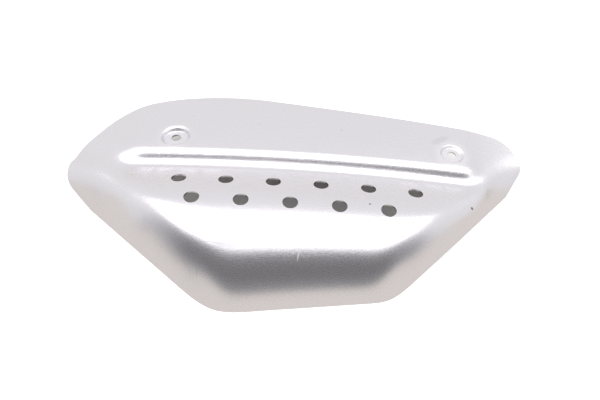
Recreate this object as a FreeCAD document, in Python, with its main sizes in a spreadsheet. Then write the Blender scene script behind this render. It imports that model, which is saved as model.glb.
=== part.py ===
import FreeCAD, Part
import math
import os

# One pressed sheet exhaust heat shield, lying on its rim as it would be put down.
# X runs along its length, Y away from the front wall, Z up; the table is Z = 0.
# The origin is under the middle of the bounding box.

os.makedirs("parts", exist_ok=True)
doc = FreeCAD.newDocument("heat_shield_build")

# Sizes in millimetres and degrees.
SIZES = [
    ("sheet_t", 1.1, "sheet thickness"),
    ("flange_deg", 18.7, "fall of the screw flange towards its rear edge"),
    ("step_top_y", 23.0, "upper corner of the step"),
    ("step_top_z", 21.9, "the same corner at the crown"),
    ("step_foot_y", 14.6, "lower corner of the step"),
    ("step_foot_z", 16.8, "the same corner at the crown"),
    ("step_r", 9.0, "both bends of the step"),
    ("step_left", -135.1, "left end of the step"),
    ("step_right", 140.9, "right end of the step"),
    ("panel_deg", 28.5, "climb of the vent panel"),
    ("crest_z", 36.0, "top of the big bend at the crown"),
    ("crest_y", -40.7, "where that height is taken"),
    ("ridge_r", 12.0, "least radius of the bend, along the corner walls"),
    ("ridge_k", 12.0, "softness of the change to it"),
    ("wall_deg", 72.0, "front wall"),
    ("front_x", -16.1, "a point on the foot of the front wall"),
    ("front_y", -82.2, "the same point"),
    ("front_dir", 7.3, "way that foot runs"),
    ("left_deg", 60.0, "left corner wall"),
    ("left_x", -133.1, "a point on its foot"),
    ("left_y", -21.2, "the same point"),
    ("left_dir", -37.5, "way that foot runs"),
    ("right_deg", 67.0, "right corner wall"),
    ("right_x", 120.5, "a point on its foot"),
    ("right_y", -17.2, "the same point"),
    ("right_dir", 45.8, "way that foot runs"),
    ("left_k", 22.0, "softness of the foot's left corner"),
    ("right_k", 14.0, "softness of its right corner"),
    ("turn_k", 24.0, "softness of the change from wall to wall"),
    ("end_deg", 12.0, "extra fall of the left end"),
    ("end_x", -130.1, "a point on the line where it starts"),
    ("end_y", 33.3, "the same point"),
    ("end_dir", 72.6, "way that line runs"),
    ("end_k", 24.0, "softness of that line"),
    ("shoulder", 25.0, "least distance from the walls' foot to the step"),
    ("crown_r", 1000.0, "lengthwise crown"),
    ("crown_x", -21.1, "highest point of the crown"),
    ("crown_rear", -0.2, "share of the crown left at the rear of the flange"),
    ("twist", 0.0004, "twist of the panel per mm"),
    ("lift", 1.5, "whole form above the drawn heights"),
    ("reach_x", 172.0, "half length of the untrimmed form"),
    ("rear_y", 100.0, "rear end of the untrimmed form"),
    ("deep", 45.0, "depth of the untrimmed form under the table"),
    ("vent_d", 10.0, "vent hole"),
    ("vent_pitch", 31.5, "between vents of a row"),
    ("row_a_n", 6.0, "vents in the rear row"),
    ("row_a_x", 2.4, "middle of the rear row"),
    ("row_a_y", -2.2, "rear row"),
    ("row_b_n", 5.0, "vents in the front row"),
    ("row_b_x", -0.9, "middle of the front row"),
    ("row_b_y", -21.7, "front row"),
    ("seat_a_x", -86.1, "left screw seat"),
    ("seat_a_y", 38.3, "left screw seat"),
    ("seat_a_d", 16.8, "flat of the left seat"),
    ("ring_a_d", 20.4, "top of the left recess, before rounding"),
    ("seat_a_h", 3.0, "depth of the left recess"),
    ("recess_r", 2.0, "rounding of the recess tops"),
    ("seat_r", 0.7, "rounding round the seats"),
    ("screw_a_d", 7.0, "left screw hole"),
    ("seat_b_x", 109.4, "right screw seat"),
    ("seat_b_y", 37.3, "right screw seat"),
    ("seat_b_d", 13.5, "flat of the right seat"),
    ("ring_b_d", 17.6, "top of the right recess, before rounding"),
    ("seat_b_h", 1.9, "depth of the right recess"),
    ("screw_b_d", 6.4, "right screw hole"),
]
# Corners of the trimming outline seen from above, each with its corner radius.
RIM = [
    ("rim1", -67.0, 89.0, 184.0), ("rim2", -128.5, 67.3, 62.7), ("rim3", -158.5, 26.6, 50.4),
    ("rim4", -158.5, 2.3, 13.0), ("rim5", -31.1, -121.6, 5.0), ("rim6", 70.5, -120.7, 5.0),
    ("rim7", 158.6, 29.8, 14.0), ("rim8", 158.6, 55.2, 24.0), ("rim9", 134.5, 60.7, 28.2),
]

sheet = doc.addObject("Spreadsheet::Sheet", "sizes")
line = 1
for name, value, note in SIZES:
    sheet.set("A%d" % line, note)
    sheet.set("B%d" % line, repr(value))
    sheet.setAlias("B%d" % line, name)
    line += 1
for name, px, py, pr in RIM:
    for col, end, value in (("B", "_x", px), ("C", "_y", py), ("D", "_r", pr)):
        sheet.set("%s%d" % (col, line), repr(value))
        sheet.setAlias("%s%d" % (col, line), name + end)
    line += 1
doc.recompute()
S = {name: float(sheet.get(name)) for name, value, note in SIZES}
for name, px, py, pr in RIM:
    for end in ("_x", "_y", "_r"):
        S[name + end] = float(sheet.get(name + end))


def rad(name):
    return math.radians(S[name])


def soft_min(a, b, k):
    """The lower of two values, with the change-over rounded off."""
    h = max(k - abs(a - b), 0.0) / k
    return min(a, b) - h * h * h * k / 6.0


def ease(t):
    t = min(max(t, 0.0), 1.0)
    return t * t * t * (10.0 - 15.0 * t + 6.0 * t * t)


def foot(x):
    """Distance y of the walls' foot at station x, and the wall's slope in that section."""
    lines = {}
    for key in ("front", "left", "right"):
        d = rad(key + "_dir")
        lines[key] = (S[key + "_y"] + (x - S[key + "_x"]) * math.tan(d),
                      math.tan(rad("wall_deg" if key == "front" else key + "_deg")) * math.cos(d))
    y, rise = lines["front"]
    for key in ("left", "right"):
        other, steep = lines[key]
        rise += (steep - rise) * ease(0.5 + 0.5 * (other - y) / S["turn_k"])
        y = -soft_min(-y, -other, S[key + "_k"])
    return y, rise


def top(x, y, z):
    """A drawn height z at the crown, taken to station x. The flange keeps less of the crown."""
    u = x - S["crown_x"]
    back = max(y - S["step_top_y"], 0.0) / (S["rear_y"] - S["step_top_y"])
    z += S["lift"] - (1.0 - (1.0 - S["crown_rear"]) * back) * u * u / (2.0 * S["crown_r"])
    z -= S["twist"] * u * max(S["step_foot_y"] - y, 0.0)
    d = rad("end_dir")
    outward = (y - S["end_y"]) * math.cos(d) - (x - S["end_x"]) * math.sin(d)
    return z + math.tan(rad("end_deg")) * soft_min(-outward, 0.0, S["end_k"])


def corners(x, inset):
    """Section at station x, shifted inwards by inset, as (y, z, corner radius)."""
    rear, (yf, rise) = S["rear_y"], foot(x)
    fade = 0.1 + 0.9 * ease((x - S["step_left"]) / 26.0) * ease((S["step_right"] - x) / 26.0)
    # the step line gives way to the right corner wall
    y2 = -soft_min(-S["step_foot_y"], -(yf + S["shoulder"]), 12.0)
    y1 = y2 + S["step_top_y"] - S["step_foot_y"]
    fall = math.tan(rad("flange_deg"))
    half = 0.5 * (S["step_top_z"] + (S["step_top_y"] - S["step_foot_y"]) * fall - S["step_foot_z"])
    z1, z2, zf = (S["step_top_z"] - (y - S["step_top_y"]) * fall for y in (y1, y2, rear))
    z1 -= half * (1.0 - fade)
    z2 -= half * (1.0 + fade)
    p = [(rear, top(x, rear, zf)), (y1, top(x, y1, z1)), (y2, top(x, y2, z2))]
    y3 = yf + 20.0
    for k in range(12):
        z3 = top(x, y3, z2 + (y2 - y3) * math.tan(rad("panel_deg")))
        slope = (z3 - p[2][1]) / (y2 - y3)
        y3 = (p[2][1] + slope * y2 + rise * yf) / (rise + slope)
    z3 = rise * (y3 - yf)
    p.append((y3, z3))
    p.append((yf - S["deep"] / rise, -S["deep"]))
    # the big bend takes the radius that keeps its top on the crown
    climb, drop = math.atan(slope), math.atan(rise)
    spare = (math.sin(climb) + math.sin(drop)) / math.sin(climb + drop) - 1.0
    r3 = (z3 - top(x, S["crest_y"], S["crest_z"])) / spare
    r3 = -soft_min(-r3, -S["ridge_r"], S["ridge_k"])
    r = [0.0, S["step_r"] - inset, S["step_r"] + inset, r3 - inset, 0.0]
    # each side of the outline moves inwards along its own normal
    lines = []
    for k in range(4):
        (ya, za), (yb, zb) = p[k], p[k + 1]
        n = math.hypot(yb - ya, zb - za)
        ny, nz = (zb - za) / n, -(yb - ya) / n
        lines.append((ny, nz, ny * ya + nz * za - inset))
    out = [(rear, (lines[0][2] - lines[0][0] * rear) / lines[0][1], 0.0)]
    for k in range(3):
        (a, b, c), (d, e, f) = lines[k], lines[k + 1]
        det = a * e - b * d
        out.append(((c * e - b * f) / det, (a * f - c * d) / det, r[k + 1]))
    a, b, c = lines[3]
    out.append(((c + b * S["deep"]) / a, -S["deep"], 0.0))
    return out


def section(x, inset):
    """Section at station x as a list of runs of points: straight, bend, straight, and so on."""
    pts = [(FreeCAD.Vector(x, y, z), r) for y, z, r in corners(x, inset)]
    runs, here = [], pts[0][0]
    for k, count in ((1, 3), (2, 3), (3, 5)):
        c, r = pts[k]
        a, b = (pts[k - 1][0] - c).normalize(), (pts[k + 1][0] - c).normalize()
        half = 0.5 * a.getAngle(b)
        p, q = c + a * (r / math.tan(half)), c + b * (r / math.tan(half))
        middle = c + (a + b).normalize() * (r / math.sin(half))
        turn = math.degrees(math.pi - 2.0 * half)
        axis = (p - middle).cross(q - middle)
        runs.append([here, p])
        runs.append([p] + [middle + FreeCAD.Rotation(axis, turn * j / count).multVec(p - middle)
                           for j in range(1, count)] + [q])
        here = q
    return runs + [[here, pts[4][0]]]


STATIONS = ([-172, -160] + list(range(-150, -25, 10)) + [-15, 0, 15, 30, 41]
            + list(range(50, 90, 7)) + list(range(92, 155, 10)) + [161, 172])


def through(points, places):
    curve = Part.BSplineCurve()
    curve.interpolate(Points=points, Parameters=places)
    return curve


def skin(rows, places):
    """Smooth surface through one run of the section taken at every station."""
    count = len(rows[0])
    along = [through([r[j] for r in rows], places) for j in range(count)]
    poles = [c.getPoles() for c in along]
    if count == 2:
        knots, mults, degree = [0.0, 1.0], [2, 2], 1
        net = [[poles[0][i], poles[1][i]] for i in range(len(poles[0]))]
    else:
        steps = [j / (count - 1.0) for j in range(count)]
        across = [through([p[i] for p in poles], steps) for i in range(len(poles[0]))]
        knots, mults, degree = across[0].getKnots(), across[0].getMultiplicities(), 3
        net = [c.getPoles() for c in across]
    surf = Part.BSplineSurface()
    surf.buildFromPolesMultsKnots(net, along[0].getMultiplicities(), mults, along[0].getKnots(),
                                  knots, False, False, 3, degree)
    return surf


def form(inset):
    """Solid block under the outer face of the sheet, or under its inner face."""
    places = [float(x) for x in STATIONS]
    sections = [section(x, inset) for x in places]
    skins = [skin([s[k] for s in sections], places) for k in range(len(sections[0]))]
    rear, low = skins[0].vIso(0.0).toShape(), skins[-1].vIso(1.0).toShape()
    x0, x1 = places[0], places[-1]
    under = [FreeCAD.Vector(x, S["rear_y"], -S["deep"]) for x in (x0, x1)]
    back = Part.makeLine(*under)
    faces = [s.toShape() for s in skins] + [Part.makeRuledSurface(rear, back),
                                            Part.makeRuledSurface(low, back)]
    for k, x in enumerate((x0, x1)):
        ring = [s.uIso(x).toShape() for s in skins]
        first, last = sections[-k][0][0], sections[-k][-1][-1]
        ring += [Part.makeLine(last, under[k]), Part.makeLine(under[k], first)]
        faces.append(Part.Face(Part.Wire(ring)))
    shell = Part.makeShell(faces)
    shell.sewShape()
    solid = Part.Solid(shell)
    if solid.Volume < 0.0:
        solid.reverse()
    return solid


def touch(shape, x, y):
    """Highest point of a shape above (x, y)."""
    probe = Part.makeLine(FreeCAD.Vector(x, y, 120.0), FreeCAD.Vector(x, y, -40.0))
    return max((v.Point for v in shape.common(probe).Vertexes), key=lambda p: p.z)


def normal(shape, x, y):
    a, b = touch(shape, x - 0.5, y), touch(shape, x + 0.5, y)
    c, d = touch(shape, x, y - 0.5), touch(shape, x, y + 0.5)
    return (b - a).cross(d - c).normalize()


def recess(shape, mark, direction, key, inset):
    """Presses a screw recess into a form, its tool grown by inset."""
    depth, flat = S["seat_%s_h" % key], 0.5 * S["seat_%s_d" % key]
    spread = (0.5 * S["ring_%s_d" % key] - flat) / depth
    low = flat + inset * (math.hypot(1.0, spread) - spread)
    high = 10.0
    cone = Part.makeCone(low, low + spread * (depth + inset + high), depth + inset + high,
                         mark - direction * (depth + inset), direction)
    base = min((e for e in cone.Edges if e.isClosed()),
               key=lambda e: (e.CenterOfMass - mark).dot(direction))
    cut = shape.cut(cone.makeFillet(S["seat_r"] + inset, [base]))
    side = [f for f in cut.Faces if isinstance(f.Surface, Part.Cone)
            and (f.CenterOfMass - mark).Length < 2.0 * flat][0]
    ring = [e for e in side.Edges if not isinstance(e.Curve, (Part.Line, Part.Circle))]
    cut = cut.makeFillet(S["recess_r"] - inset, ring)
    return cut


outer_form, inner_form = form(0.0), form(S["sheet_t"])
shapes = [outer_form, inner_form]
for key in ("a", "b"):
    x, y = S["seat_%s_x" % key], S["seat_%s_y" % key]
    mark, direction = touch(outer_form, x, y), normal(outer_form, x, y)
    shapes = [recess(s, mark, direction, key, i) for s, i in zip(shapes, (0.0, S["sheet_t"]))]


def rim_wire():
    """Trimming outline with its corners rounded."""
    pts = [FreeCAD.Vector(S[n + "_x"], S[n + "_y"], 0.0) for n, x, y, r in RIM]
    edges, ends = [], []
    for k in range(len(pts)):
        c, r = pts[k], S[RIM[k][0] + "_r"]
        a, b = (pts[k - 1] - c).normalize(), (pts[(k + 1) % len(pts)] - c).normalize()
        half = 0.5 * a.getAngle(b)
        middle = c + (a + b).normalize() * (r / math.sin(half))
        ends.append((c + a * (r / math.tan(half)), middle + (c - middle).normalize() * r,
                     c + b * (r / math.tan(half))))
    for k in range(len(ends)):
        edges.append(Part.makeLine(ends[k - 1][2], ends[k][0]))
        edges.append(Part.Arc(*ends[k]).toShape())
    return Part.Wire(edges)


def feature(label, shape):
    obj = doc.addObject("Part::Feature", label)
    obj.Shape = shape
    return obj


trim = feature("trim", Part.Face(rim_wire()).extrude(FreeCAD.Vector(0.0, 0.0, 90.0)))
trimmed = doc.addObject("Part::Common", "trimmed_form")
trimmed.Base = feature("outer_pressed", shapes[0])
trimmed.Tool = trim
pressed = doc.addObject("Part::Cut", "pressed_sheet")
pressed.Base = trimmed
pressed.Tool = feature("inner_pressed", shapes[1])


def hole(label, x, y, cell):
    pin = doc.addObject("Part::Cylinder", label)
    pin.setExpression("Radius", "sizes.%s / 2" % cell)
    pin.setExpression("Height", "sizes.sheet_t * 8")
    p, n = touch(shapes[0], x, y), normal(shapes[0], x, y)
    pin.Placement = FreeCAD.Placement(p - n * (4.5 * S["sheet_t"]),
                                      FreeCAD.Rotation(FreeCAD.Vector(0, 0, 1), n))
    return pin, p, n


pins = []
for key in ("a", "b"):
    count = int(S["row_%s_n" % key])
    for k in range(count):
        x = S["row_%s_x" % key] + (k - 0.5 * (count - 1)) * S["vent_pitch"]
        pins.append(hole("vent_%s%d" % (key, k + 1), x, S["row_%s_y" % key], "vent_d")[0])
for key in ("a", "b"):
    pin, p, n = hole("screw_" + key, S["seat_%s_x" % key], S["seat_%s_y" % key], "screw_%s_d" % key)
    print("screw_" + key, [round(c, 3) for c in p], [round(c, 4) for c in n])
    pins.append(pin)

tool = doc.addObject("Part::MultiFuse", "holes")
tool.Shapes = pins
part = doc.addObject("Part::Cut", "heat_shield")
part.Base = pressed
part.Tool = tool
part.Label = "heat_shield"
doc.recompute()

for obj in doc.Objects:
    if "Invalid" in obj.State or "Error" in obj.State:
        raise RuntimeError(obj.Name + " is not right: " + str(obj.State))
    if hasattr(obj, "Shape") and (obj.Shape.isNull() or not obj.Shape.isValid()):
        raise RuntimeError(obj.Name + " has no valid shape")
solid = part.Shape
mesh = solid.tessellate(0.073)
print("heat_shield", solid.ShapeType, len(solid.Solids), "faces", len(solid.Faces), "triangles", len(mesh[1]),
      "volume", round(solid.Volume), "centre", [round(c, 2) for c in solid.CenterOfGravity])
for axis in "xyz":
    along = [getattr(p, axis) for p in mesh[0]]
    print(axis, round(min(along), 3), round(max(along), 3))
solid.exportStep("parts/heat_shield.step")
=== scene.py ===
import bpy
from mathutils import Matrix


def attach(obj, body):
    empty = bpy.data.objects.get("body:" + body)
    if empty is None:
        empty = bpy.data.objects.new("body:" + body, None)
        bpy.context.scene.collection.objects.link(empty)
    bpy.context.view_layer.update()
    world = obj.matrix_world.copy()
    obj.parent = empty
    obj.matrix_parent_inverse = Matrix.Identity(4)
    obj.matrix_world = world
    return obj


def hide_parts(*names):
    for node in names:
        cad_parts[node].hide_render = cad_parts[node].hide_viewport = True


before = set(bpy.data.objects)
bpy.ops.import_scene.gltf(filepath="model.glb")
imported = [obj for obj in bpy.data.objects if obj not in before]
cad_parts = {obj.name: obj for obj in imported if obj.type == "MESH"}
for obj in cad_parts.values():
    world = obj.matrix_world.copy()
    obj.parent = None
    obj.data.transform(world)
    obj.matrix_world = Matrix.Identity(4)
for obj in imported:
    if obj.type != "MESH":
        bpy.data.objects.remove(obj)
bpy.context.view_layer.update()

import math

import bpy
import numpy as np
from mathutils import Matrix, Vector

# Looks of the pressed heat shield. Lengths in millimetres unless a line says metres.
MM = 0.001

# Form of the sheet, as in the part's own sizes.
S = dict(
    sheet_t=1.1, flange_deg=18.7, step_top_y=23.0, step_top_z=21.9, step_foot_y=14.6, step_foot_z=16.8,
    step_r=9.0, step_left=-135.1, step_right=140.9, panel_deg=28.5, crest_z=36.0, crest_y=-40.7,
    ridge_r=12.0, ridge_k=12.0, wall_deg=72.0, front_x=-16.1, front_y=-82.2, front_dir=7.3,
    left_deg=60.0, left_x=-133.1, left_y=-21.2, left_dir=-37.5, right_deg=67.0, right_x=120.5,
    right_y=-17.2, right_dir=45.8, left_k=22.0, right_k=14.0, turn_k=24.0, end_deg=12.0, end_x=-130.1,
    end_y=33.3, end_dir=72.6, end_k=24.0, shoulder=25.0, crown_r=1000.0, crown_x=-21.1,
    crown_rear=-0.2, twist=0.0004, lift=1.5, rear_y=100.0, deep=45.0)


def rad(name):
    """An angle of the form, in radians."""
    return math.radians(S[name])


def soft_min(a, b, k):
    """The smaller of two values, with a smooth change between them over the length k."""
    h = max(k - abs(a - b), 0.0) / k
    return min(a, b) - h * h * h * k / 6.0


def ease(t):
    """A smooth rise from 0 to 1."""
    t = min(max(t, 0.0), 1.0)
    return t * t * t * (10.0 - 15.0 * t + 6.0 * t * t)


def foot(x):
    """Distance y of the walls' foot at station x, and the wall's slope in that section."""
    lines = {}
    for key in ("front", "left", "right"):
        d = rad(key + "_dir")
        lines[key] = (S[key + "_y"] + (x - S[key + "_x"]) * math.tan(d),
                      math.tan(rad("wall_deg" if key == "front" else key + "_deg")) * math.cos(d))
    y, rise = lines["front"]
    for key in ("left", "right"):
        other, steep = lines[key]
        rise += (steep - rise) * ease(0.5 + 0.5 * (other - y) / S["turn_k"])
        y = -soft_min(-y, -other, S[key + "_k"])
    return y, rise


def top(x, y, z):
    """Height z of a section's corner, changed by the crown, the twist and the falling left end."""
    u = x - S["crown_x"]
    back = max(y - S["step_top_y"], 0.0) / (S["rear_y"] - S["step_top_y"])
    z += S["lift"] - (1.0 - (1.0 - S["crown_rear"]) * back) * u * u / (2.0 * S["crown_r"])
    z -= S["twist"] * u * max(S["step_foot_y"] - y, 0.0)
    d = rad("end_dir")
    outward = (y - S["end_y"]) * math.cos(d) - (x - S["end_x"]) * math.sin(d)
    return z + math.tan(rad("end_deg")) * soft_min(-outward, 0.0, S["end_k"])


def corners(x, inset):
    """Section at station x, shifted inwards by inset, as (y, z, corner radius)."""
    rear, (yf, rise) = S["rear_y"], foot(x)
    fade = 0.1 + 0.9 * ease((x - S["step_left"]) / 26.0) * ease((S["step_right"] - x) / 26.0)
    y2 = -soft_min(-S["step_foot_y"], -(yf + S["shoulder"]), 12.0)
    y1 = y2 + S["step_top_y"] - S["step_foot_y"]
    fall = math.tan(rad("flange_deg"))
    half = 0.5 * (S["step_top_z"] + (S["step_top_y"] - S["step_foot_y"]) * fall - S["step_foot_z"])
    z1, z2, zf = (S["step_top_z"] - (y - S["step_top_y"]) * fall for y in (y1, y2, rear))
    z1 -= half * (1.0 - fade)
    z2 -= half * (1.0 + fade)
    p = [(rear, top(x, rear, zf)), (y1, top(x, y1, z1)), (y2, top(x, y2, z2))]
    y3 = yf + 20.0
    for k in range(12):
        z3 = top(x, y3, z2 + (y2 - y3) * math.tan(rad("panel_deg")))
        slope = (z3 - p[2][1]) / (y2 - y3)
        y3 = (p[2][1] + slope * y2 + rise * yf) / (rise + slope)
    z3 = rise * (y3 - yf)
    p += [(y3, z3), (yf - S["deep"] / rise, -S["deep"])]
    climb, drop = math.atan(slope), math.atan(rise)
    spare = (math.sin(climb) + math.sin(drop)) / math.sin(climb + drop) - 1.0
    r3 = (z3 - top(x, S["crest_y"], S["crest_z"])) / spare
    r3 = -soft_min(-r3, -S["ridge_r"], S["ridge_k"])
    r = [0.0, S["step_r"] - inset, S["step_r"] + inset, r3 - inset, 0.0]
    lines = []
    for (ya, za), (yb, zb) in zip(p, p[1:]):
        n = math.hypot(yb - ya, zb - za)
        ny, nz = (zb - za) / n, -(yb - ya) / n
        lines.append((ny, nz, ny * ya + nz * za - inset))
    out = [(rear, (lines[0][2] - lines[0][0] * rear) / lines[0][1], 0.0)]
    for k, ((a, b, c), (d, e, f)) in enumerate(zip(lines, lines[1:])):
        det = a * e - b * d
        out.append(((c * e - b * f) / det, (a * f - c * d) / det, r[k + 1]))
    a, b, c = lines[3]
    out.append(((c + b * S["deep"]) / a, -S["deep"], 0.0))
    return out


def heights(x, inset, ys):
    """Height of the section at station x over each of the rising values ys."""
    pts = [np.array(c[:2]) for c in corners(x, inset)]
    radii = [c[2] for c in corners(x, inset)]
    z = np.interp(ys, [p[0] for p in pts[::-1]], [p[1] for p in pts[::-1]])
    for k in (1, 2, 3):
        a, b = pts[k - 1] - pts[k], pts[k + 1] - pts[k]
        a, b = a / np.linalg.norm(a), b / np.linalg.norm(b)
        half = 0.5 * math.acos(float(np.clip(a @ b, -1.0, 1.0)))
        reach = radii[k] / math.tan(half)
        middle = pts[k] + (a + b) / np.linalg.norm(a + b) * radii[k] / math.sin(half)
        high, low = (pts[k] + a * reach)[0], (pts[k] + b * reach)[0]
        on = (ys > low) & (ys < high)
        side = 1.0 if middle[1] < pts[k][1] else -1.0
        rest = np.maximum(radii[k] ** 2 - (ys[on] - middle[0]) ** 2, 0.0)
        z[on] = middle[1] + side * np.sqrt(rest)
    return z


def blurred(table, spread_x, spread_y):
    """The table averaged with a bell curve whose spread is given in grid steps."""
    for axis, spread in ((0, spread_x), (1, spread_y)):
        reach = int(3.0 * spread)
        weight = np.exp(-0.5 * (np.arange(-reach, reach + 1) / spread) ** 2)
        weight /= weight.sum()
        pad = [(reach, reach) if k == axis else (0, 0) for k in (0, 1)]
        wide = np.pad(table, pad, mode="reflect", reflect_type="odd")
        table = sum(w * (wide[k:k + table.shape[0]] if axis == 0 else wide[:, k:k + table.shape[1]])
                    for k, w in enumerate(weight))
    return table


# Grid of the height tables.
STEP_X, STEP_Y = 1.0, 0.5
GRID_X, GRID_Y = np.arange(-161.0, 161.1, STEP_X), np.arange(-90.0, 90.1, STEP_Y)

# Sizes of the fuller step and of the rounder front corners, used for shading only.
RISER = dict(step_top_z=22.5, step_foot_z=15.6, step_r=8.0)
TURNS = dict(left_k=48.0, right_k=40.0, turn_k=48.0, left_y=-26.5, right_y=-22.5, front_y=-83.0)
# Where the shading softens: the start of each stretch, the length over which it fades in,
# and the spread of the softening along x and y.
TURN_LEFT, TURN_RIGHT, TURN_END, TURN_FADE = -25.0, 42.0, 138.0, 40.0
TURN_REAR, TURN_REAR_FADE, TURN_SPREAD = 6.0, 14.0, (10.0, 5.0)
RISER_FRONT, RISER_REAR, RISER_FADE, RISER_SPREAD = 4.0, 36.0, 5.0, (2.0, 1.55)
TIP_RIGHT, TIP_FADE, TIP_SPREAD = 122.0, 22.0, (11.0, 11.0)
SOFT_LEFT, SOFT_RIGHT, SOFT_FADE, SOFT_SPREAD = -100.0, 112.0, 32.0, (6.0, 6.0)


def softened(table, spread, share):
    """The table moved towards its blurred copy by the given share."""
    return table + (blurred(table, spread[0] / STEP_X, spread[1] / STEP_Y) - table) * share


def form_table(inset, sizes):
    """Heights of one skin over the grid, with some of the form's sizes changed."""
    kept = {key: S[key] for key in sizes}
    S.update(sizes)
    table = np.array([heights(x, inset, GRID_Y) for x in GRID_X])
    S.update(kept)
    return table


def form_tables(inset):
    """Heights of a skin as the CAD has it, and of the softer form that shades it."""
    plain, fine = form_table(inset, {}), form_table(inset, RISER)
    ahead = np.array([ease((TURN_REAR - y) / TURN_REAR_FADE) for y in GRID_Y])
    turns = np.array([ease((TURN_LEFT - x) / TURN_FADE) * ease((x + TURN_END) / TURN_FADE)
                      + ease((x - TURN_RIGHT) / TURN_FADE) * ease((TURN_END - x) / TURN_FADE)
                      for x in GRID_X])
    rounded = softened(form_table(inset, dict(RISER, **TURNS)), TURN_SPREAD, 1.0)
    shaded = fine + (rounded - fine) * turns[:, None] * ahead
    step = np.array([ease((y - RISER_FRONT) / RISER_FADE) * ease((RISER_REAR - y) / RISER_FADE)
                     for y in GRID_Y])
    shaded = softened(shaded, RISER_SPREAD, step)
    tip = np.array([ease((x - TIP_RIGHT) / TIP_FADE) for x in GRID_X])
    shaded = softened(shaded, TIP_SPREAD, tip[:, None])
    ends = np.array([ease((SOFT_LEFT - x) / SOFT_FADE) + ease((x - SOFT_RIGHT) / SOFT_FADE)
                     for x in GRID_X])
    return plain, softened(shaded, SOFT_SPREAD, ends[:, None])


def bilinear(table, x, y):
    """Values of the table between its grid points."""
    i = np.clip((x - GRID_X[0]) / STEP_X, 0.0, len(GRID_X) - 1.001)
    j = np.clip((y - GRID_Y[0]) / STEP_Y, 0.0, len(GRID_Y) - 1.001)
    i0, j0 = i.astype(int), j.astype(int)
    fi, fj = i - i0, j - j0
    return ((table[i0, j0] * (1 - fi) + table[i0 + 1, j0] * fi) * (1 - fj)
            + (table[i0, j0 + 1] * (1 - fi) + table[i0 + 1, j0 + 1] * fi) * fj)


def slopes_to_normals(table, p):
    """Normals of the table's surface above or below the points p."""
    gx, gy = np.gradient(table, STEP_X, STEP_Y)
    n = np.stack([-bilinear(gx, p[:, 0], p[:, 1]), -bilinear(gy, p[:, 0], p[:, 1]),
                  np.ones(len(p))], 1)
    return n / np.linalg.norm(n, axis=1)[:, None]


# A face is shaded by the form if its corners lie within this many millimetres of it,
# and if its own normal agrees with the form's to within about 21 degrees.
OFF_FORM, AGREES = 0.25, 0.93


def dress(node):
    """A copy of the CAD sheet, unmoved, whose skin is shaded with the softer form's normals."""
    mesh = node.data.copy()
    mesh.name = "pressed_sheet"
    obj = bpy.data.objects.new("pressed_sheet", mesh)
    bpy.context.scene.collection.objects.link(obj)
    mesh.polygons.foreach_set("use_smooth", np.ones(len(mesh.polygons), bool))
    co = np.zeros(len(mesh.vertices) * 3)
    mesh.vertices.foreach_get("co", co)
    co = co.reshape(-1, 3) / MM
    loops = np.zeros(len(mesh.loops), int)
    mesh.loops.foreach_get("vertex_index", loops)
    face_n = np.zeros(len(mesh.polygons) * 3)
    mesh.polygons.foreach_get("normal", face_n)
    face_n = face_n.reshape(-1, 3)
    sizes = np.zeros(len(mesh.polygons), int)
    mesh.polygons.foreach_get("loop_total", sizes)
    of_face = np.repeat(np.arange(len(mesh.polygons)), sizes)
    p, fn = co[loops], face_n[of_face]
    corner = np.zeros(len(mesh.loops) * 3)
    mesh.corner_normals.foreach_get("vector", corner)
    normals = corner.reshape(-1, 3).copy()
    for inset, way in ((0.0, 1.0), (S["sheet_t"], -1.0)):
        plain, shaded = form_tables(inset)
        n0, n1 = (slopes_to_normals(t, p) for t in (plain, shaded))
        off = np.abs(bilinear(plain, p[:, 0], p[:, 1]) - p[:, 2]) * n0[:, 2]
        # every corner of the face has to lie on the form, so recesses and edges keep their own
        bad = (off > OFF_FORM) | ((fn * n0).sum(1) * way < AGREES)
        face_bad = np.bincount(of_face, weights=bad, minlength=len(mesh.polygons)) > 0
        use = ~face_bad[of_face]
        normals[use] = n1[use] * way
    mesh.normals_split_custom_set([tuple(v) for v in normals])
    return obj


shield = dress(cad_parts["heat_shield"])
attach(shield, "root")
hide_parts("heat_shield")


def linear(hex_colour):
    """An sRGB colour written in hex, as the linear colour that shaders take."""
    parts = [int(hex_colour[k:k + 2], 16) / 255.0 for k in (1, 3, 5)]
    rgb = [c / 12.92 if c <= 0.04045 else ((c + 0.055) / 1.055) ** 2.4 for c in parts]
    return tuple(rgb) + (1.0,)


def add(tree, kind, settings=None, **links):
    """One node with its settings and inputs; an input is a number, a colour or another socket."""
    node = tree.nodes.new(kind)
    for key, value in (settings or {}).items():
        setattr(node, key, value)
    for key, value in links.items():
        by_number = key[0] == "i" and key[1:].isdigit()
        socket = node.inputs[int(key[1:]) if by_number else key.replace("_", " ")]
        if isinstance(value, bpy.types.NodeSocket):
            tree.links.new(value, socket)
        else:
            socket.default_value = value
    return node


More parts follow.
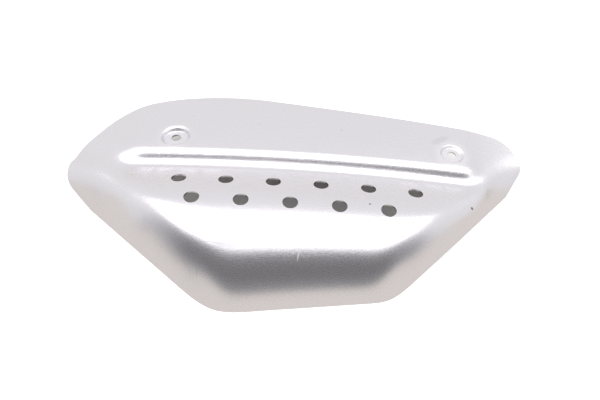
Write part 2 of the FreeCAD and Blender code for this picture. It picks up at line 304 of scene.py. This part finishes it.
# Marks of use, lengths in millimetres:
# centre x, y, half length, half width, turn in degrees, raggedness of the edge, kind.
MARKS = [
    (-36.0, -51.5, 12.0, 3.6, 4.0, 1.6, "scuff"),
    (-47.0, -46.0, 3.5, 2.2, 20.0, 1.2, "scuff"),
    (-44.5, -52.5, 7.0, 0.5, -6.0, 0.5, "scratch"),
    (6.3, -55.5, 4.8, 0.45, 80.0, 0.2, "scratch"),
    (47.0, -13.8, 13.0, 2.6, 3.0, 1.8, "scuff"),
    (50.0, -17.8, 1.1, 0.7, 30.0, 0.3, "nick"),
    (45.5, -12.2, 3.0, 0.4, 60.0, 0.3, "scratch"),
    (119.7, -7.4, 1.2, 1.0, 0.0, 0.3, "nick"),
    (104.6, -5.2, 1.0, 0.9, 0.0, 0.3, "dent"),
    (-28.5, 54.3, 1.8, 1.5, 0.0, 0.3, "dent"),
    (31.3, 52.6, 1.6, 1.3, 0.0, 0.3, "dent"),
    (-56.9, -63.8, 0.8, 6.0, 8.0, 0.3, "smear"),
    (101.5, 50.0, 9.0, 3.2, 35.0, 0.6, "dent"),
    # duller metal round the two screw recesses, which softens their rings
    (-86.1, 38.1, 17.0, 17.0, 0.0, 0.2, "dull"),
    (109.3, 37.2, 15.0, 15.0, 0.0, 0.2, "dull"),
]
# What each kind adds to the roughness, to the bump's height and to the dark tone. The dark tone is
# wear on scuffs and smears, and painted shade in the hollows of nicks and dents.
KINDS = {
    "scuff": (0.22, 0.4, 0.07),
    "scratch": (0.25, -1.5, -0.06),
    "nick": (0.3, -6.0, 0.75),
    "dent": (0.0, -4.0, 0.09),
    "dull": (0.14, 0.0, 0.0),
    "smear": (0.06, 0.0, 0.12),
}


# Settings of nodes that are used more than once.
TIMES_PLUS, SMOOTH = {"operation": "MULTIPLY_ADD"}, {"interpolation_type": "SMOOTHSTEP"}


def mark_mask(tree, place, cloud, mark):
    """1 inside the mark and 0 outside, seen from above, with a ragged edge."""
    x, y, wide, deep, turn, edge = mark[:6]
    turned = add(tree, "ShaderNodeMapping", {"vector_type": "TEXTURE"}, Vector=place,
                 Location=(x * MM, y * MM, 0.0), Rotation=(0.0, 0.0, math.radians(turn)),
                 Scale=(wide * MM, deep * MM, 1.0)).outputs[0]
    flat = add(tree, "ShaderNodeVectorMath", {"operation": "MULTIPLY"}, i0=turned,
               i1=(1.0, 1.0, 0.0)).outputs[0]
    far = add(tree, "ShaderNodeVectorMath", {"operation": "LENGTH"}, i0=flat).outputs["Value"]
    ragged = add(tree, "ShaderNodeMath", TIMES_PLUS, i0=cloud, i1=edge, i2=far).outputs[0]
    return add(tree, "ShaderNodeMapRange", SMOOTH, Value=ragged,
               From_Min=0.5 + 0.5 * edge, From_Max=1.0 + 0.5 * edge, To_Min=1.0,
               To_Max=0.0).outputs[0]


def brushed_aluminium():
    """Bare aluminium, finely brushed along its length, which gives soft, slightly drawn glints."""
    mat = bpy.data.materials.new("brushed aluminium")
    mat.use_nodes = True
    tree = mat.node_tree
    shader = tree.nodes["Principled BSDF"]
    coords = add(tree, "ShaderNodeTexCoord")
    place = coords.outputs["Object"]
    # grain lines about 0.25 mm apart and 25 mm long, along the sheet
    stretched = add(tree, "ShaderNodeMapping", Vector=place,
                    Scale=(40.0, 4000.0, 4000.0)).outputs[0]
    grain = add(tree, "ShaderNodeTexNoise", Vector=stretched, Scale=1.0, Detail=3.0,
                Roughness=0.6).outputs["Fac"]
    # patches about 20 mm wide, for the ragged edges of the marks
    cloud = add(tree, "ShaderNodeTexNoise", Vector=place, Scale=45.0, Detail=3.0).outputs["Fac"]
    rough = add(tree, "ShaderNodeMapRange", Value=grain, From_Min=0.3, From_Max=0.7, To_Min=0.25,
                To_Max=0.30).outputs[0]
    # the marks lie on the outer skin, which faces up
    facing = add(tree, "ShaderNodeSeparateXYZ", Vector=coords.outputs["Normal"]).outputs["Z"]
    outer = add(tree, "ShaderNodeMath", {"operation": "GREATER_THAN"}, i0=facing, i1=0.0).outputs[0]
    height, wear_and_shade = grain, 0.0
    for mark in MARKS:
        mask = add(tree, "ShaderNodeMath", {"operation": "MULTIPLY"}, i1=outer,
                   i0=mark_mask(tree, place, cloud, mark)).outputs[0]
        rougher, raised, darker = KINDS[mark[6]]
        rough = add(tree, "ShaderNodeMath", TIMES_PLUS, i0=mask, i1=rougher, i2=rough).outputs[0]
        height = add(tree, "ShaderNodeMath", TIMES_PLUS, i0=mask, i1=raised, i2=height).outputs[0]
        wear_and_shade = add(tree, "ShaderNodeMath", TIMES_PLUS, i0=mask, i1=darker, i2=wear_and_shade).outputs[0]
    # the dark tone: wear on scuffs and smears, painted shade in nicks and dents, lighter metal in
    # scratches
    base = add(tree, "ShaderNodeMixRGB", Fac=wear_and_shade, Color1=linear("#DDDADF"),
               Color2=linear("#5A5656")).outputs[0]
    bump = add(tree, "ShaderNodeBump", Height=height, Strength=0.12, Distance=0.0003)
    tree.links.new(base, shader.inputs["Base Color"])
    tree.links.new(rough, shader.inputs["Roughness"])
    tree.links.new(bump.outputs[0], shader.inputs["Normal"])
    shader.inputs["Metallic"].default_value = 1.0
    return mat


shield.data.materials.clear()
shield.data.materials.append(brushed_aluminium())


def plane(name, corner_points):
    """One flat face of the stage."""
    mesh = bpy.data.meshes.new(name)
    mesh.from_pydata([Vector(c) for c in corner_points], [], [tuple(range(len(corner_points)))])
    obj = bpy.data.objects.new(name, mesh)
    bpy.context.scene.collection.objects.link(obj)
    return obj


# Half length and half width, in metres, of the ellipse under the part where the floor's glow fades
# out, a painted shadow over the real one.
PART_HALF_X, PART_HALF_Y = 0.155, 0.082


def floor_material():
    """Pale to the camera, with a painted shadow where its glow fades round the part. Reflections see a
    painted glow that darkens towards the front, as in a dark room, with a painted shadow under the
    part.
    """
    mat = bpy.data.materials.new("pale table")
    mat.use_nodes = True
    tree = mat.node_tree
    tree.nodes.clear()
    rays = add(tree, "ShaderNodeLightPath").outputs["Is Glossy Ray"]
    place = add(tree, "ShaderNodeTexCoord").outputs["Object"]
    # the table glows back to the camera round the part; under and just round it the glow fades out in
    # an ellipse, a painted contact shadow over the real shadow
    round_part = add(tree, "ShaderNodeMapping", Vector=place,
                     Scale=(1.0 / PART_HALF_X, 1.0 / PART_HALF_Y, 1.0)).outputs[0]
    away = add(tree, "ShaderNodeVectorMath", {"operation": "LENGTH"}, i0=round_part).outputs["Value"]
    clear = add(tree, "ShaderNodeMapRange", SMOOTH, Value=away,
                From_Min=0.70, From_Max=0.95, To_Min=0.0, To_Max=0.62).outputs[0]
    glow = add(tree, "ShaderNodeEmission", Color=(1.0, 1.0, 1.0, 1.0), Strength=clear).outputs[0]
    pale = add(tree, "ShaderNodeBsdfDiffuse", Color=linear("#F2F2F2")).outputs[0]
    seen = add(tree, "ShaderNodeAddShader", i0=pale, i1=glow).outputs[0]
    # painted reflection: to reflections the table is a glow that darkens towards the front, as in a
    # dark room
    front = add(tree, "ShaderNodeSeparateXYZ", Vector=place).outputs["Y"]
    far = add(tree, "ShaderNodeMapRange", SMOOTH, Value=front,
              From_Min=-0.07, From_Max=-0.62, To_Min=0.0, To_Max=1.0).outputs[0]
    tone = add(tree, "ShaderNodeMixRGB", Fac=far, Color1=linear("#F4EFE7"),
               Color2=linear("#A09E9D")).outputs[0]
    # painted shadow in reflections: the glow is dimmed under and round the part
    painted_shadow_in_reflections = add(tree, "ShaderNodeMapRange", Value=away, From_Min=0.60, From_Max=0.80, To_Min=0.05,
                 To_Max=1.0).outputs[0]
    painted_reflection = add(tree, "ShaderNodeEmission", Color=tone, Strength=painted_shadow_in_reflections).outputs[0]
    mix = add(tree, "ShaderNodeMixShader", i0=rays, i1=seen, i2=painted_reflection).outputs[0]
    add(tree, "ShaderNodeOutputMaterial", Surface=mix)
    return mat


# Stage, in metres.
floor = plane("table", [(-4, -4, 0), (4, -4, 0), (4, 4, 0), (-4, 4, 0)])
floor.data.materials.append(floor_material())

# The dark card stands in front of the part, and only reflections show it.
CARD_Y, CARD_HALF, CARD_TOP = -1.0, 3.0, 2.1


def card_material():
    """A painted reflection: a glowing sheet, dark in the middle, light towards its ends, a little
    lighter near the table.
    """
    mat = bpy.data.materials.new("dark card")
    mat.use_nodes = True
    tree = mat.node_tree
    tree.nodes.clear()
    place = add(tree, "ShaderNodeTexCoord").outputs["Object"]
    side = add(tree, "ShaderNodeSeparateXYZ", Vector=place).outputs["X"]
    out = add(tree, "ShaderNodeMath", {"operation": "ABSOLUTE"}, i0=side).outputs[0]
    tone = add(tree, "ShaderNodeMapRange", SMOOTH, Value=out,
               From_Min=1.2, From_Max=CARD_HALF, To_Min=0.21, To_Max=0.95).outputs[0]
    low = add(tree, "ShaderNodeSeparateXYZ", Vector=place).outputs["Z"]
    rise = add(tree, "ShaderNodeMapRange", SMOOTH, Value=low,
               From_Min=0.0, From_Max=0.45, To_Min=0.13, To_Max=0.0).outputs[0]
    tone = add(tree, "ShaderNodeMath", {"operation": "ADD"}, i0=tone, i1=rise).outputs[0]
    light = add(tree, "ShaderNodeEmission", Color=(0.98, 0.98, 1.0, 1.0), Strength=tone).outputs[0]
    add(tree, "ShaderNodeOutputMaterial", Surface=light)
    return mat


card = plane("front_card", [(-CARD_HALF, CARD_Y, 0.0), (CARD_HALF, CARD_Y, 0.0),
                            (CARD_HALF, CARD_Y, CARD_TOP), (-CARD_HALF, CARD_Y, CARD_TOP)])
card.data.materials.append(card_material())
card.visible_camera = card.visible_diffuse = card.visible_shadow = False


# Share of the room's light that reaches matt surfaces, so the shell's hollow stays dark.
ROOM_LIGHT = 0.35


def area_light(name, place, aim, width, height, power):
    data = bpy.data.lights.new(name, "AREA")
    data.shape, data.size, data.size_y, data.energy = "RECTANGLE", width, height, power
    data.diffuse_factor = ROOM_LIGHT
    obj = bpy.data.objects.new(name, data)
    obj.location = place
    obj.rotation_euler = (Vector(aim) - Vector(place)).to_track_quat("-Z", "Y").to_euler()
    bpy.context.scene.collection.objects.link(obj)
    return obj


area_light("overhead", (0.0, 0.25, 1.5), (0.0, 0.25, 0.0), 3.0, 1.6, 24.0)

world = bpy.data.worlds.new("studio")
bpy.context.scene.world = world
world.use_nodes = True
tree = world.node_tree
tree.nodes.clear()
path = add(tree, "ShaderNodeLightPath")
white = add(tree, "ShaderNodeMath", {"operation": "MAXIMUM"}, i0=path.outputs["Is Camera Ray"],
            i1=path.outputs["Is Glossy Ray"]).outputs[0]
white = add(tree, "ShaderNodeMath", {"operation": "MAXIMUM"}, i0=white,
            i1=path.outputs["Is Transmission Ray"]).outputs[0]
room = add(tree, "ShaderNodeBackground", Color=(1.0, 1.0, 1.0, 1.0), Strength=ROOM_LIGHT).outputs[0]
back = add(tree, "ShaderNodeBackground", Color=(1.0, 1.0, 1.0, 1.0), Strength=1.0).outputs[0]
studio = add(tree, "ShaderNodeMixShader", i0=white, i1=room, i2=back).outputs[0]
add(tree, "ShaderNodeOutputWorld", Surface=studio)

# Camera: a 40 mm lens about 0.46 m from the part, looking down at 60.5 degrees.
ELEVATION, AZIMUTH, ROLL = (math.radians(v) for v in (60.5, 2.99, 0.31))
back_way = Vector((math.sin(AZIMUTH) * math.cos(ELEVATION), -math.cos(AZIMUTH) * math.cos(ELEVATION),
                   math.sin(ELEVATION)))
right_way = Vector((math.cos(AZIMUTH), math.sin(AZIMUTH), 0.0))
up_way = back_way.cross(right_way)
cam_x = right_way * math.cos(ROLL) + up_way * math.sin(ROLL)
cam_y = up_way * math.cos(ROLL) - right_way * math.sin(ROLL)
camera_data = bpy.data.cameras.new("camera")
camera_data.sensor_width, camera_data.lens, camera_data.clip_start = 36.0, 40.02, 0.01
camera = bpy.data.objects.new("camera", camera_data)
bpy.context.scene.collection.objects.link(camera)
camera.matrix_world = Matrix.Translation(Vector((0.0161, -0.2281, 0.4043))) @ Matrix(
    (cam_x, cam_y, back_way)).transposed().to_4x4()
bpy.context.scene.camera = camera
bpy.context.scene.view_settings.view_transform = "Standard"
